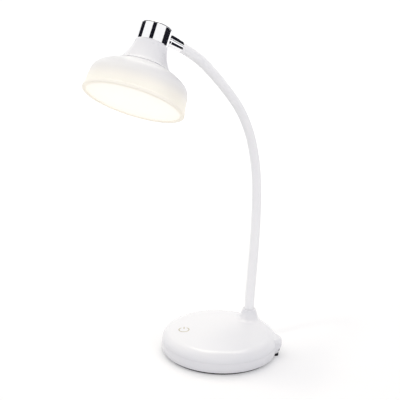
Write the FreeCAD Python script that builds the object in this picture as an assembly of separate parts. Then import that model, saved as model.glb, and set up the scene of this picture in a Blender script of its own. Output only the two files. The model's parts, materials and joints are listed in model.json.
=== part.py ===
import FreeCAD, Part
import math
import os

# Cordless touch lamp on a flexible gooseneck, in millimetres.
# Z is up, the origin is the middle of the foot pad where it meets the table.
# The neck stands behind the origin (+Y) and carries the lamp head forward (-Y).
# A round two-part base holds a steel weight, a flat battery and the control board.

V = FreeCAD.Vector

# ---------------------------------------------------------------- base housing
base_radius = 60.0
base_height = 25.0          # top of the dome above the table
base_wall = 2.2
foot_turn_in = 1.1          # how far the side wall turns in to the foot
side_upright = 0.56494      # share of the side wall, floor to shoulder, that stands upright
shoulder_radius = 11.0
dome_radius = 620.0         # crown of the nearly flat top
seam_over_bezel = 2.2       # joint of the two shells above the socket's bezel
seam_groove_height = 0.35
seam_groove_depth = 0.3
tongue_height = 2.4         # tongue below the joint
tongue_root = 3.0           # tongue's overlap with the upper shell
tongue_thickness = 1.5
tongue_gap = 0.2
pad_thickness = 2.7
pad_inset = 2.8             # pad edge inside the housing's foot edge
pad_edge_round = 0.4
pad_lobe_reach = 2.0        # pad under the inlet boss, outside the side wall
pad_lobe_width = 10.0

base_screw_azimuths = (345.0, 130.0, 200.0, 272.0)
base_screw_set_in = 9.5     # screws inside the side wall
screw_boss_radius = 3.4
screw_web_reach = 7.0       # stiffening webs beside each screw boss
screw_web_thickness = 1.2
screw_web_depth = 8.0
screw_web_clear = 2.0       # webs stop above the dome's inside
screw_shank_radius = 1.15
screw_head_radius = 2.8
screw_head_height = 1.5
screw_head_round = 0.6
screw_head_rise = 0.2       # screw head above the pad
screw_length = 12.0
screw_bite = 9.0            # drilled depth above the lower shell's posts
screw_pass_gap = 0.3        # radial clearance where a screw passes through
base_post_wall = 3.15       # lower shell's posts, outside the screw
base_post_height = 9.5      # top of the lower shell's posts

# ---------------------------------------------------------------- neck collar
collar_set_in = 15.0        # neck axis inside the side wall
collar_rise = 9.5           # collar's top above the dome
collar_wall = 1.5
collar_root = 11.9          # foot of its cone, inside the housing, below the dome's top
collar_spread = 7.0         # how much wider its cone is at that foot
collar_flare = 9.0          # concave blend between collar and dome
collar_lip = 0.5
sleeve_pocket = 8.0         # depth of the counterbore that takes the sleeve
nipple_step = 0.9           # nipple's flange outside its thread
nipple_bore = 2.2
nipple_end_round = 0.5
nipple_flange_height = 1.5
nipple_flange_round = 0.3
nipple_tail = 2.3           # thread left below the lock nut
washer_border = 4.0         # washer outside the nipple
washer_thickness = 1.0
lock_nut_border = 2.5       # from the nipple's thread to the nut's flats
lock_nut_height = 4.0
lock_pad_drop = 3.4         # flat under the collar, below the dome's inside
lock_pad_border = 0.6       # flat outside the washer

# ---------------------------------------------------------------- inlet and touch key
port_azimuth = 39.0         # charging inlet, behind and to the right
port_boss_radius = 11.0     # round of the inlet boss, seen from above
port_boss_reach = 5.0       # how far the inlet boss stands out of the side wall
port_boss_drop = 5.4        # boss's top below the dome's
port_boss_foot = 3.1
port_boss_undercut = 2.6    # boss's foot behind its face
port_boss_face_low = 1.6    # upright face, from above the socket's middle
port_boss_face_top = 3.0    # to below the boss's top
port_boss_shoulder = 2.5    # edge of the boss's top, inside its face
port_boss_rounds = (0, 3.5, 4.0, 5.0, 1.2, 0)
port_body_width = 9.0
port_body_height = 3.2
port_body_length = 9.4
port_gap = 0.1              # receptacle in its way through the housing
port_shell_wall = 0.3
port_back_wall = 1.2
port_set_back = 1.6         # receptacle's mouth behind the boss's face
port_tongue_thickness = 0.7
port_tongue_side_gap = 1.3
port_tongue_short = 1.4     # tongue's tip behind the receptacle's mouth
bezel_width = 12.4
bezel_height = 5.6
bezel_depth = 2.2
bezel_set_in = 2.6          # bezel's front from the boss's face
bezel_gap = 0.1
bezel_under_skin = 0.35     # bezel's face below the boss's skin
bezel_back_gap = 0.05
key_azimuth = 230.0         # touch key, in front and to the left
key_set_in = 22.5           # key inside the side wall
key_electrode_radius = 8.6
key_electrode_thickness = 0.3
key_electrode_gap = 0.3
key_roof = 1.4              # plastic left over the touch electrode

# ---------------------------------------------------------------- inside the base
weight_clearance = 4.2      # weight inside the lower shell's posts
weight_thickness = 5.5
weight_edge_round = 0.8
weight_notch_gap = 1.0      # notch beside the board
weight_bite_gap = 1.5       # bite round the neck's washer
battery_length = 48.0
battery_width = 32.0
battery_thickness = 6.0
battery_edge_round = 1.2
battery_tab_width = 19.2
battery_tab_length = 3.0
board_length = 22.0         # along the wall
board_depth = 15.0          # towards the middle
board_thickness = 1.2
board_rise = 0.4            # board above the lower shell's floor
board_set_in = 2.6          # board from the housing's inside
board_rail_width = 3.0
board_rail_set_in = 3.0     # rails under the board, inside its ends
board_rail_short = 2.0      # rails' ends inside the board's edges
chip_size = (4.0, 4.0, 1.0)
coil_size = (2.4, 2.4)      # radius and height
parts_place = (-3.0, 6.0)   # chip and coil, each side of the board's middle

# ---------------------------------------------------------------- gooseneck
sleeve_radius = 4.9
sleeve_wall = 1.5
core_gap = 0.1              # between the inner hose and its sleeve
core_bore = 1.6
pivot_gap = 0.3             # between a ball end and the cup that rides on it
root_run = 23.0             # from the collar's top to the first pivot
link_run = 54.0             # from pivot to pivot
tip_run = 44.5              # from the last pivot to the ferrule
# Lean from upright towards -Y, in degrees, at the collar, each pivot and the ferrule.
neck_leans = (0.0, -4.0, -2.5, 3.5, 20.0, 43.0, 51.0, 66.0)

# ---------------------------------------------------------------- ferrule and swivel
ferrule_length = 17.5
ferrule_wall = 0.6          # outside the sleeve at the ferrule's mouth
ferrule_swell = 1.0         # how much wider its head is
ferrule_rounds = (0.25, 0.5)
ferrule_pocket = 6.0        # how deep the sleeve sits
pocket_end_gap = 0.1
fit_gap = 0.05              # radial clearance of turned parts that locate each other
stud_radius = 3.0
stud_bore = 1.8
stud_flange_border = 1.2
stud_flange_height = 1.4
stud_flange_gap = 0.2
stud_rounds = (0.3, 0.4)
stud_end = 0.5              # stud beyond its nut
swivel_gap = 0.3            # faces that pass each other as the head turns
socket_stand_out = 1.7      # socket's face outside the cap
socket_rise = 6.5           # degrees that the socket points above square
bush_wall = 1.3
bush_end_gap = 0.1
bush_flange_border = 1.1
bush_flange_height = 1.0
bush_flange_gap = 0.2
swivel_washer_border = 1.9
swivel_washer_thickness = 0.6
swivel_nut_border = 1.0
swivel_nut_height = 2.4
head_turn = -8.0            # resting turn of the head about the ferrule's axis

# ---------------------------------------------------------------- lamp head
# Heights are along the head's own axis, up from the plane of the mouth.
cap_radius = 14.6
cap_wall = 1.6
cap_edge = 1.6
cap_mouth_rounds = (0.2, 0.4)
cap_under_socket = 3.8      # cap's edge below the socket
cap_over_socket = 0.3       # cap's top above the socket
cap_flat_depth = 0.4        # flat for the bush, cut into the cap's wall
spigot_gap = 0.1            # spigot inside the cap
spigot_wall = 1.6
spigot_length = 3.6
spigot_root = 3.0           # where the inside of the stem turns into the spigot
stem_step = 0.4             # stem's top outside the cap
stem_cap_gap = 0.3
stem_waist = (0.2, 8.8)     # upper flare: share of its spread, and how far below the stem's top
stem_low = (6 / 11, 16.6)   # lower flare, in the same way
stem_height = 22.5
stem_wall = 2.0
stem_top_lean = 0.1         # outward slope at the stem's top
stem_edge = 0.4             # upright edge of the stem's foot
stem_floor_reach = 5.6      # inside corner of the foot, from its edge
stem_screw_set_in = 3.5     # screws inside the stem's top
stem_screw_azimuths = (90, 210, 330)
stem_boss_radius = 2.4
stem_boss_height = 7.0
bell_radius = 45.9
bell_wall = 2.0
skirt_height = 20.4
skirt_flare = 2.0           # how much wider the skirt is at its foot
shoulder_run = 13.3         # from the skirt's foot in to the end of the shoulder
shoulder_drop = 6.8
crown_width = 6.6           # crown that shows outside the stem's foot
crown_slope = 23.0          # degrees that the crown falls from the stem
crown_tuck = 0.6            # crown starts inside the stem's foot
bell_low_round = 14.0
bell_high_round = 40.0
bell_top_round = 2.0
bell_hole_border = 4.5      # wire hole inside the screws
led_boss_azimuths = (30, 150, 270)
led_boss_set_in = 13.9      # bosses inside the skirt's foot
led_boss_radius = 3.0
led_boss_hole_depth = 8.0
led_plate_gap = 2.9         # plate inside the bell's wall
led_plate_thickness = 1.6
led_plate_height = 10.6     # underside of the plate
led_plate_hole = 4.0
led_size = (3.5, 2.8, 0.7)
led_rings = ((6.0, 18), (21.0, 9))  # each ring's distance inside the plate's edge, and its count
head_screw_radius = 2.2
head_screw_head = 1.2
head_screw_length = 6.5
rim_overhang = 0.6          # rim ring outside the skirt
rim_wall = 2.5
rim_lip = 1.0               # thickness of the lip under the disc
rim_lip_width = 1.2
rim_rounds = (0.3, 0.9, 0.6, 0.2)
disc_thickness = 2.0
disc_gap = 0.2

# ---------------------------------------------------------------- for the cuts
cut_past = 1.0              # how far a hole or way is cut past the face it leaves by
round_end_flat = 0.02       # flat left at the end of a round-ended bar
same_place = 0.01           # two places closer than this are one

# ---------------------------------------------------------------- sizes that follow
base_foot_radius = base_radius - foot_turn_in
base_screw_circle = base_radius - base_screw_set_in
base_post_radius = screw_shank_radius + base_post_wall
housing_floor = pad_thickness + base_wall
dome_to_shoulder = math.sqrt((dome_radius - shoulder_radius) ** 2 - (base_radius - shoulder_radius) ** 2)
shoulder_start = base_height - dome_radius + dome_to_shoulder
base_widest_height = shoulder_start - side_upright * (shoulder_start - housing_floor)
port_height = housing_floor + board_rise + board_thickness + port_body_height / 2
seam_height = port_height + bezel_height / 2 + seam_over_bezel
port_boss_top = base_height - port_boss_drop
bezel_outer = base_radius + port_boss_reach
bezel_inner = bezel_outer - bezel_set_in - bezel_depth
key_distance = base_radius - key_set_in
weight_radius = base_screw_circle - base_post_radius - weight_clearance
weight_top = housing_floor + weight_thickness
board_middle = base_radius - base_wall - board_set_in - board_depth / 2

sleeve_bore = sleeve_radius - sleeve_wall
core_radius = sleeve_bore - core_gap
collar_offset = base_radius - collar_set_in
collar_top = base_height + collar_rise
collar_top_radius = sleeve_radius + pivot_gap + collar_wall
collar_foot_radius = collar_top_radius + collar_spread
nipple_seat_height = collar_top - sleeve_pocket
nipple_radius = sleeve_radius - nipple_step
washer_radius = nipple_radius + washer_border
lock_nut_flats = 2 * (nipple_radius + lock_nut_border)
lock_seat_height = base_height - base_wall - lock_pad_drop
nut_low = lock_seat_height - washer_thickness - lock_nut_height
nipple_bottom = nut_low - nipple_tail

ferrule_neck_radius = sleeve_radius + ferrule_wall
ferrule_head_radius = ferrule_neck_radius + ferrule_swell
stud_flange_radius = stud_radius + stud_flange_border
stud_seat = ferrule_pocket + stud_flange_height + stud_flange_gap
socket_radius = ferrule_head_radius
socket_reach = cap_radius + socket_stand_out
bush_radius = stud_radius + bush_wall
bush_flange_radius = bush_radius + bush_flange_border
swivel_washer_radius = stud_radius + swivel_washer_border
swivel_nut_flats = 2 * (stud_radius + swivel_nut_border)
cap_flat = cap_radius - cap_wall - cap_flat_depth
bush_inner = cap_flat - bush_flange_height
washer_outer = bush_inner - swivel_gap
nut_outer = washer_outer - swivel_washer_thickness
nut_inner = nut_outer - swivel_nut_height

rim_radius = bell_radius + rim_overhang
rim_height = rim_lip + disc_thickness + disc_gap
disc_radius = rim_radius - rim_wall - disc_gap
rim_opening = disc_radius - rim_lip_width
spigot_radius = cap_radius - cap_wall - spigot_gap
stem_top_radius = cap_radius + stem_step
stem_screw_circle = stem_top_radius - stem_screw_set_in
bell_hole = stem_screw_circle - bell_hole_border
bell_bottom = rim_height
bell_bend_low = (bell_radius - skirt_flare, bell_bottom + skirt_height)
bell_bend_high = (bell_radius - shoulder_run, bell_bottom + skirt_height + shoulder_drop)
crown_run = crown_width + crown_tuck
stem_foot_radius = bell_bend_high[0] - crown_width
stem_flare = stem_foot_radius - stem_top_radius
stem_foot = bell_bend_high[1] + crown_run * math.tan(math.radians(crown_slope))
cap_bottom = stem_foot + stem_height
spigot_top = cap_bottom + spigot_length
swivel_height = cap_bottom + cap_under_socket + socket_radius
cap_top = swivel_height + socket_radius + cap_over_socket
led_boss_circle = bell_radius - led_boss_set_in
led_plate_radius = bell_radius - bell_wall - led_plate_gap

neck_runs = (root_run,) + (link_run,) * (len(neck_leans) - 3) + (tip_run,)
X_AXIS = V(1, 0, 0)
Z_AXIS = V(0, 0, 1)


def heading(lean):
    """Direction of the neck at a lean from upright towards -Y."""
    a = math.radians(lean)
    return V(0, -math.sin(a), math.cos(a))


def inward(lean):
    """Direction square to the neck, on the side it bends to as the lean grows."""
    a = math.radians(lean)
    return V(0, -math.cos(a), -math.sin(a))


def bend_centre(start, lean_a, lean_b, run):
    radius = run / math.radians(lean_b - lean_a)
    return start + inward(lean_a) * radius


def turned(vector, centre, degrees):
    spin = FreeCAD.Placement(V(0, 0, 0), FreeCAD.Rotation(X_AXIS, degrees), centre)
    return spin.multVec(vector)


def neck_stations():
    """The collar's top, each pivot and the ferrule's mouth, in order."""
    places = [V(0, collar_offset, collar_top)]
    for i, run in enumerate(neck_runs):
        centre = bend_centre(places[-1], neck_leans[i], neck_leans[i + 1], run)
        places.append(turned(places[-1], centre, neck_leans[i + 1] - neck_leans[i]))
    return places


stations = neck_stations()
pivots = stations[1:-1]
ferrule_mouth = stations[-1]
ferrule_axis = heading(neck_leans[-1])
swivel_point = ferrule_mouth + ferrule_axis * (ferrule_length + swivel_gap + socket_reach)


# ---------------------------------------------------------------- helpers
def rounded_wire(points, radii):
    """Closed outline through 2-D points (radius, height), each corner rounded by its own radius."""
    count = len(points)
    starts = []
    ends = []
    middles = []
    for i in range(count):
        corner = V(points[i][0], 0, points[i][1])
        before = V(points[i - 1][0], 0, points[i - 1][1])
        after = V(points[(i + 1) % count][0], 0, points[(i + 1) % count][1])
        radius = radii[i]
        if radius <= 0:
            starts.append(corner)
            ends.append(corner)
            middles.append(None)
            continue
        to_before = (before - corner).normalize()
        to_after = (after - corner).normalize()
        half = to_before.getAngle(to_after) / 2
        tangent = radius / math.tan(half)
        bisector = (to_before + to_after).normalize()
        centre = corner + bisector * (radius / math.sin(half))
        starts.append(corner + to_before * tangent)
        ends.append(corner + to_after * tangent)
        middles.append(centre - bisector * radius)
    edges = []
    for i in range(count):
        if middles[i] is not None:
            edges.append(Part.Arc(starts[i], middles[i], ends[i]).toShape())
        nearest = starts[(i + 1) % count]
        if (nearest - ends[i]).Length > same_place:
            edges.append(Part.LineSegment(ends[i], nearest).toShape())
    return Part.Wire(edges)


def turned_solid(points, radii=None):
    """Solid of revolution about Z from an outline of (radius, height) points."""
    radii = radii or [0] * len(points)
    face = Part.Face(rounded_wire(points, radii))
    return face.revolve(V(0, 0, 0), Z_AXIS, 360)


def inset_outline(points, distance):
    """Open outline moved inwards: each straight run shifts to its right-hand side."""
    lines = []
    for a, b in zip(points[:-1], points[1:]):
        along = V(b[0] - a[0], 0, b[1] - a[1]).normalize()
        side = V(along.z, 0, -along.x) * distance
        lines.append((V(a[0], 0, a[1]) + side, along))
    moved = [lines[0][0]]
    for (p, d), (q, e) in zip(lines[:-1], lines[1:]):
        cross = d.x * e.z - d.z * e.x
        step = ((q.x - p.x) * e.z - (q.z - p.z) * e.x) / cross
        moved.append(p + d * step)
    last = V(points[-1][0], 0, points[-1][1])
    p, d = lines[-1]
    moved.append(p + d * (last - V(points[-2][0], 0, points[-2][1])).Length)
    return [(m.x, m.z) for m in moved]


def rod(radius, start, direction, length):
    return Part.makeCylinder(radius, length, start, direction)


def pipe(outer, inner, start, direction, length):
    return rod(outer, start, direction, length).cut(rod(inner, start, direction, length))


def hex_nut(flats, bore, start, direction, height):
    corner = flats / math.sqrt(3)
    points = []
    for i in range(7):
        a = math.radians(60 * i)
        points.append(V(corner * math.cos(a), corner * math.sin(a), 0))
    prism = Part.Face(Part.makePolygon(points)).extrude(V(0, 0, height))
    prism = prism.cut(rod(bore, V(0, 0, 0), Z_AXIS, height))
    prism.Placement = FreeCAD.Placement(start, FreeCAD.Rotation(Z_AXIS, direction))
    return prism


def box_at(size_x, size_y, low, high):
    """Box centred on the Z axis between two heights."""
    return Part.makeBox(size_x, size_y, high - low, V(-size_x / 2, -size_y / 2, low))


def around(shape, azimuth, distance=0.0):
    """Moves a shape built on the Z axis out along +X, then turns it to an azimuth."""
    copy = shape.copy()
    copy.translate(V(distance, 0, 0))
    copy.rotate(V(0, 0, 0), Z_AXIS, azimuth)
    return copy


def slab(low, high):
    size = 4 * base_radius
    return box_at(size, size, low, high)


# ---------------------------------------------------------------- base housing
def base_form(inset):
    """The lens-shaped body of the base, or its inside at a wall's thickness."""
    radius = base_radius - inset
    foot = base_foot_radius - inset
    bottom = pad_thickness + inset
    top = base_height - inset
    shoulder = shoulder_radius - inset
    crown = dome_radius - inset
    crown_centre = top - crown
    shoulder_centre = V(radius - shoulder, 0, 0)
    rise = math.sqrt((crown - shoulder) ** 2 - shoulder_centre.x ** 2)
    shoulder_centre.z = crown_centre + rise
    outward = V(shoulder_centre.x, 0, rise).normalize()
    meet = shoulder_centre + outward * shoulder
    half = math.atan2(meet.x, meet.z - crown_centre) / 2
    crown_middle = V(crown * math.sin(half), 0, crown_centre + crown * math.cos(half))
    slope = math.atan2(outward.z, outward.x) / 2
    shoulder_middle = shoulder_centre + V(math.cos(slope), 0, math.sin(slope)) * shoulder
    apex = V(0, 0, top)
    side_top = V(radius, 0, shoulder_centre.z)
    side_low = V(radius, 0, base_widest_height)
    foot_edge = V(foot, 0, bottom)
    sag = radius - foot
    drop = base_widest_height - bottom
    turn_in = (drop ** 2 + sag ** 2) / (2 * sag)
    half = math.asin(drop / turn_in) / 2
    turn_middle = side_low + V(turn_in * (math.cos(half) - 1), 0, -turn_in * math.sin(half))
    edges = [
        Part.LineSegment(V(0, 0, bottom), foot_edge).toShape(),
        Part.Arc(foot_edge, turn_middle, side_low).toShape(),
        Part.LineSegment(side_low, side_top).toShape(),
        Part.Arc(side_top, shoulder_middle, meet).toShape(),
        Part.Arc(meet, crown_middle, apex).toShape(),
        Part.LineSegment(apex, V(0, 0, bottom)).toShape(),
    ]
    return Part.Face(Part.Wire(edges)).revolve(V(0, 0, 0), Z_AXIS, 360)


def inlet_boss(inset):
    """Round swelling in the side wall that takes the charging socket."""
    top_corner = port_boss_radius - port_boss_shoulder
    foot_corner = port_boss_radius - port_boss_undercut
    outline = [
        (0, port_boss_top),
        (top_corner, port_boss_top),
        (port_boss_radius, port_boss_top - port_boss_face_top),
        (port_boss_radius, port_height + port_boss_face_low),
        (foot_corner, port_boss_foot),
        (0, port_boss_foot),
    ]
    rounds = []
    for radius in port_boss_rounds:
        rounds.append(max(radius - inset, 0))
    boss = turned_solid(inset_outline(outline, inset), rounds)
    return around(boss, port_azimuth, base_radius + port_boss_reach - port_boss_radius)


def collar_stem():
    """Collar that the neck rises from, before its concave flare."""
    foot = base_height - collar_root
    outline = [
        (0, foot),
        (collar_foot_radius, foot),
        (collar_top_radius, collar_top),
        (0, collar_top),
    ]
    stem = turned_solid(outline, [0, 0, collar_lip, 0])
    stem.translate(V(0, collar_offset, 0))
    return stem


def base_outside():
    body = base_form(0).fuse(collar_stem())
    roots = []
    reach = collar_foot_radius + cut_past
    for edge in body.Edges:
        box = edge.BoundBox
        beside = box.YMin > collar_offset - reach and box.YMax < collar_offset + reach
        between = box.ZMin > seam_height + cut_past and box.ZMax < base_height
        if beside and between and abs(box.Center.x) < reach and box.XLength < 2 * reach:
            roots.append(edge)
    body = body.makeFillet(collar_flare, roots)
    return body.fuse(inlet_boss(0)).removeSplitter()


def base_inside():
    return base_form(base_wall).fuse(inlet_boss(base_wall))


def socket_way():
    """Way through the wall and the bezel for the metal receptacle."""
    way = round_ended_bar(port_body_width + 2 * port_gap, port_body_height + 2 * port_gap,
                          bezel_inner - port_body_length, bezel_outer + cut_past)
    return around(way, port_azimuth)


def inlet_gate():
    """Space at the inlet boss, where the seam's tongue and groove stop."""
    side = 2 * shoulder_radius
    box = box_at(side, 2 * port_boss_radius + base_wall, 0, base_height)
    return around(box, port_azimuth, base_radius)


def upper_room():
    """Where the upper shell's inner features may reach: into its wall, and clear of the lower shell's."""
    above = slab(seam_height, collar_top).common(base_form(base_wall / 2))
    below = slab(0, seam_height).common(base_form(base_wall + tongue_gap))
    return above.fuse(below)


def seam_tongue():
    """Ring on the upper shell that the lower shell slips over."""
    ring = slab(seam_height - tongue_height, seam_height + tongue_root).common(upper_room())
    return ring.cut(base_form(base_wall + tongue_gap + tongue_thickness))


def seam_groove():
    """Shadow line round the joint of the two shells."""
    skin = slab(seam_height, seam_height + seam_groove_height)
    return skin.cut(base_form(seam_groove_depth))


def lock_pad():
    """Pad under the dome that the neck's washer pulls against."""
    pad = rod(washer_radius + lock_pad_border, V(0, collar_offset, lock_seat_height), Z_AXIS,
              base_height - lock_seat_height)
    return pad.common(upper_room())


def screw_boss():
    """Boss under the dome for one housing screw, with a web each side."""
    under_dome = base_height - base_wall
    boss = rod(screw_boss_radius, V(0, 0, base_post_height), Z_AXIS, under_dome - base_post_height)
    low = under_dome - screw_web_depth
    web = box_at(2 * screw_web_reach, screw_web_thickness, low, under_dome - screw_web_clear)
    return boss.fuse(web)


def base_top_shell():
    shell = base_outside().common(slab(seam_height, collar_top + cut_past))
    shell = shell.cut(base_inside())
    shell = shell.fuse(lock_pad())
    shell = shell.fuse(seam_tongue().cut(inlet_gate()))
    shell = shell.cut(seam_groove().cut(inlet_gate()))
    for azimuth in base_screw_azimuths:
        boss = around(screw_boss(), azimuth, base_screw_circle)
        shell = shell.fuse(boss.common(upper_room()))
    for azimuth in base_screw_azimuths:
        hole = rod(screw_shank_radius + fit_gap, V(0, 0, base_post_height), Z_AXIS, screw_bite)
        shell = shell.cut(around(hole, azimuth, base_screw_circle))
    neck_foot = V(0, collar_offset, 0)
    bore = rod(sleeve_radius + pivot_gap, neck_foot + Z_AXIS * nipple_seat_height, Z_AXIS, collar_top)
    shell = shell.cut(bore)
    way = rod(nipple_radius + fit_gap, neck_foot, Z_AXIS, collar_top)
    shell = shell.cut(way)
    seat = rod(washer_radius + lock_pad_border, neck_foot, Z_AXIS, lock_seat_height)
    shell = shell.cut(seat)
    pocket_radius = key_electrode_radius + key_electrode_gap
    pocket = rod(pocket_radius, V(0, 0, seam_height), Z_AXIS, key_seat() - seam_height)
    shell = shell.cut(around(pocket, key_azimuth, key_distance))
    return shell.removeSplitter()


def dome_height(distance):
    """Height of the outside of the dome at a distance from the middle."""
    return base_height - dome_radius + math.sqrt(dome_radius ** 2 - distance ** 2)


def key_seat():
    return dome_height(key_distance + key_electrode_radius) - key_roof


def base_bottom_shell():
    shell = base_outside().common(slab(0, seam_height))
    shell = shell.cut(base_inside())
    for azimuth in base_screw_azimuths:
        post = rod(base_post_radius, V(0, 0, pad_thickness), Z_AXIS, base_post_height - pad_thickness)
        shell = shell.fuse(around(post, azimuth, base_screw_circle))
    for azimuth in base_screw_azimuths:
        well = rod(screw_head_radius + screw_pass_gap, V(0, 0, 0), Z_AXIS,
                   pad_thickness + screw_head_rise + screw_head_height)
        hole = rod(screw_shank_radius + screw_pass_gap, V(0, 0, 0), Z_AXIS, base_post_height + cut_past)
        shell = shell.cut(around(well.fuse(hole), azimuth, base_screw_circle))
    bezel_seat = round_ended_bar(bezel_width, bezel_height, bezel_inner, bezel_outer + cut_past)
    shell = shell.cut(around(bezel_seat, port_azimuth))
    shell = shell.cut(socket_way())
    for side in (-1, 1):
        rail = box_at(board_depth - 2 * board_rail_short, board_rail_width, pad_thickness,
                      housing_floor + board_rise)
        rail.translate(V(0, side * (board_length / 2 - board_rail_set_in), 0))
        shell = shell.fuse(around(rail, port_azimuth, board_middle))
    return shell.removeSplitter()


def foot_pad():
    """Rubber foot with a lobe that carries the inlet boss."""
    edge = base_foot_radius - pad_inset
    outline = [(0, 0), (edge, 0), (edge, pad_thickness), (0, pad_thickness)]
    pad = turned_solid(outline, [0, pad_edge_round, 0, 0])
    lobe = box_at(2 * (pad_lobe_reach + base_radius - edge), pad_lobe_width, 0, pad_thickness)
    ends = []
    for corner in lobe.Edges:
        if corner.BoundBox.ZLength > pad_thickness / 2:
            ends.append(corner)
    lobe = lobe.makeFillet(pad_lobe_width / 4, ends)
    return pad.fuse(around(lobe, port_azimuth, edge)).removeSplitter()


def base_screws():
    low = pad_thickness + screw_head_rise
    seat = low + screw_head_height
    outline = [(0, low), (screw_head_radius, low), (screw_head_radius, seat), (0, seat)]
    screws = []
    for azimuth in base_screw_azimuths:
        head = turned_solid(outline, [0, screw_head_round, 0, 0])
        shank = rod(screw_shank_radius, V(0, 0, seat), Z_AXIS, screw_length)
        screws.append(around(head.fuse(shank), azimuth, base_screw_circle))
    return Part.makeCompound(screws)


# ---------------------------------------------------------------- inside the base
def counterweight():
    """Steel disc with a notch for the board and a bite for the neck's fastening."""
    outline = [
        (0, housing_floor),
        (weight_radius, housing_floor),
        (weight_radius, weight_top),
        (0, weight_top),
    ]
    disc = turned_solid(outline, [0, weight_edge_round, weight_edge_round, 0])
    notch = box_at(board_depth + 2 * weight_notch_gap, board_length + 4 * weight_notch_gap, 0, base_height)
    disc = disc.cut(around(notch, port_azimuth, board_middle))
    bite = rod(washer_radius + weight_bite_gap, V(0, collar_offset, 0), Z_AXIS, base_height)
    return disc.cut(bite)


def battery_pouch():
    cell = box_at(battery_length, battery_width, weight_top, weight_top + battery_thickness)
    cell = cell.makeFillet(battery_edge_round, cell.Edges)
    tab = box_at(battery_tab_length, battery_tab_width, weight_top + battery_edge_round,
                 weight_top + battery_thickness - battery_edge_round)
    tab.translate(V(battery_length / 2, 0, 0))
    cell = cell.fuse(tab)
    cell.rotate(V(0, 0, 0), Z_AXIS, port_azimuth)
    return cell


def main_board():
    low = housing_floor + board_rise
    top = low + board_thickness
    board = box_at(board_depth, board_length, low, top)
    chip = box_at(chip_size[0], chip_size[1], top, top + chip_size[2])
    chip.translate(V(parts_place[0], parts_place[1], 0))
    coil = rod(coil_size[0], V(parts_place[0], -parts_place[1], top), Z_AXIS, coil_size[1])
    board = board.fuse(chip).fuse(coil)
    return around(board, port_azimuth, board_middle)


def round_ended_bar(width, height, back, front):
    """Bar with rounded ends along +X, centred on the socket's height."""
    bar = Part.makeBox(front - back, width, height, V(back, -width / 2, port_height - height / 2))
    ends = []
    for edge in bar.Edges:
        if edge.BoundBox.XLength > same_place:
            ends.append(edge)
    return bar.makeFillet((height - round_end_flat) / 2, ends)


def charge_socket():
    """Round-ended metal receptacle, closed behind, with its contact tongue."""
    front = bezel_outer - port_set_back
    back = front - port_body_length
    wall = port_shell_wall
    shell = round_ended_bar(port_body_width, port_body_height, back, front)
    room = round_ended_bar(port_body_width - 2 * wall, port_body_height - 2 * wall,
                           back + port_back_wall, front)
    tongue_width = port_body_width - 2 * port_tongue_side_gap
    tongue = Part.makeBox(port_body_length - port_tongue_short, tongue_width, port_tongue_thickness,
                          V(back, -tongue_width / 2, port_height - port_tongue_thickness / 2))
    shell = shell.cut(room).fuse(tongue).removeSplitter()
    return around(shell, port_azimuth)


def socket_bezel():
    """Black insert that frames the socket in the inlet boss."""
    bar = round_ended_bar(bezel_width - 2 * bezel_gap, bezel_height - 2 * bezel_gap,
                          bezel_inner + bezel_back_gap, bezel_outer + cut_past)
    ring = around(bar, port_azimuth).common(inlet_boss(bezel_under_skin))
    return ring.cut(socket_way())


def touch_electrode():
    low = key_seat() - key_electrode_thickness
    disc = rod(key_electrode_radius, V(0, 0, low), Z_AXIS, key_electrode_thickness)
    return around(disc, key_azimuth, key_distance)


# ---------------------------------------------------------------- neck root fastening
def neck_nipple():
    flange_top = nipple_seat_height + nipple_flange_height
    outline = [
        (nipple_bore, nipple_bottom),
        (nipple_radius, nipple_bottom),
        (nipple_radius, nipple_seat_height),
        (sleeve_radius, nipple_seat_height),
        (sleeve_radius, flange_top),
        (nipple_bore, flange_top),
    ]
    piece = turned_solid(outline, [0, nipple_end_round, 0, 0, nipple_flange_round, 0])
    piece.translate(V(0, collar_offset, 0))
    return piece


def neck_washer():
    low = lock_seat_height - washer_thickness
    return pipe(washer_radius, nipple_radius + fit_gap, V(0, collar_offset, low), Z_AXIS, washer_thickness)


def neck_lock_nut():
    low = V(0, collar_offset, nut_low)
    return hex_nut(lock_nut_flats, nipple_radius + fit_gap, low, Z_AXIS, lock_nut_height)


# ---------------------------------------------------------------- gooseneck
def ring_face(outer, inner, place, direction):
    rings = [Part.Wire(Part.makeCircle(outer, place, direction))]
    if inner > 0:
        rings.append(Part.Wire(Part.makeCircle(inner, place, direction)))
    return Part.makeFace(rings, "Part::FaceMakerBullseye")


def bent_tube(outer, inner, index):
    """Tube along one run of the neck, from station to station."""
    lean_a = neck_leans[index]
    lean_b = neck_leans[index + 1]
    start = stations[index]
    centre = bend_centre(start, lean_a, lean_b, neck_runs[index])
    face = ring_face(outer, inner, start, heading(lean_a))
    spin = X_AXIS if lean_b > lean_a else X_AXIS * -1
    return face.revolve(centre, spin, abs(lean_b - lean_a))


def neck_layer(outer, inner, index, ball):
    """One layer of a run: cup at its lower pivot, ball or plain end at its upper one."""
    tube = bent_tube(outer, inner, index)
    last = len(neck_runs) - 1
    if index == 0:
        seat = nipple_seat_height + nipple_flange_height
        tube = tube.fuse(pipe(outer, inner, V(0, collar_offset, seat), Z_AXIS, collar_top - seat))
    else:
        tube = tube.cut(Part.makeSphere(sleeve_radius + pivot_gap, stations[index]))
    if index == last:
        tail = pipe(outer, inner, ferrule_mouth, ferrule_axis, ferrule_pocket - pocket_end_gap)
        tube = tube.fuse(tail)
    elif ball:
        end = stations[index + 1]
        along = heading(neck_leans[index + 1])
        dome = Part.makeSphere(sleeve_radius, end)
        reach = sleeve_radius + cut_past
        dome = dome.common(rod(reach, end, along, reach))
        dome = dome.cut(rod(core_bore, end, along, reach))
        tube = tube.fuse(dome)
    return tube.removeSplitter()


def neck_sleeve(index):
    return neck_layer(sleeve_radius, sleeve_bore, index, True)


def neck_core(index):
    return neck_layer(core_radius, core_bore, index, False)


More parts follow.
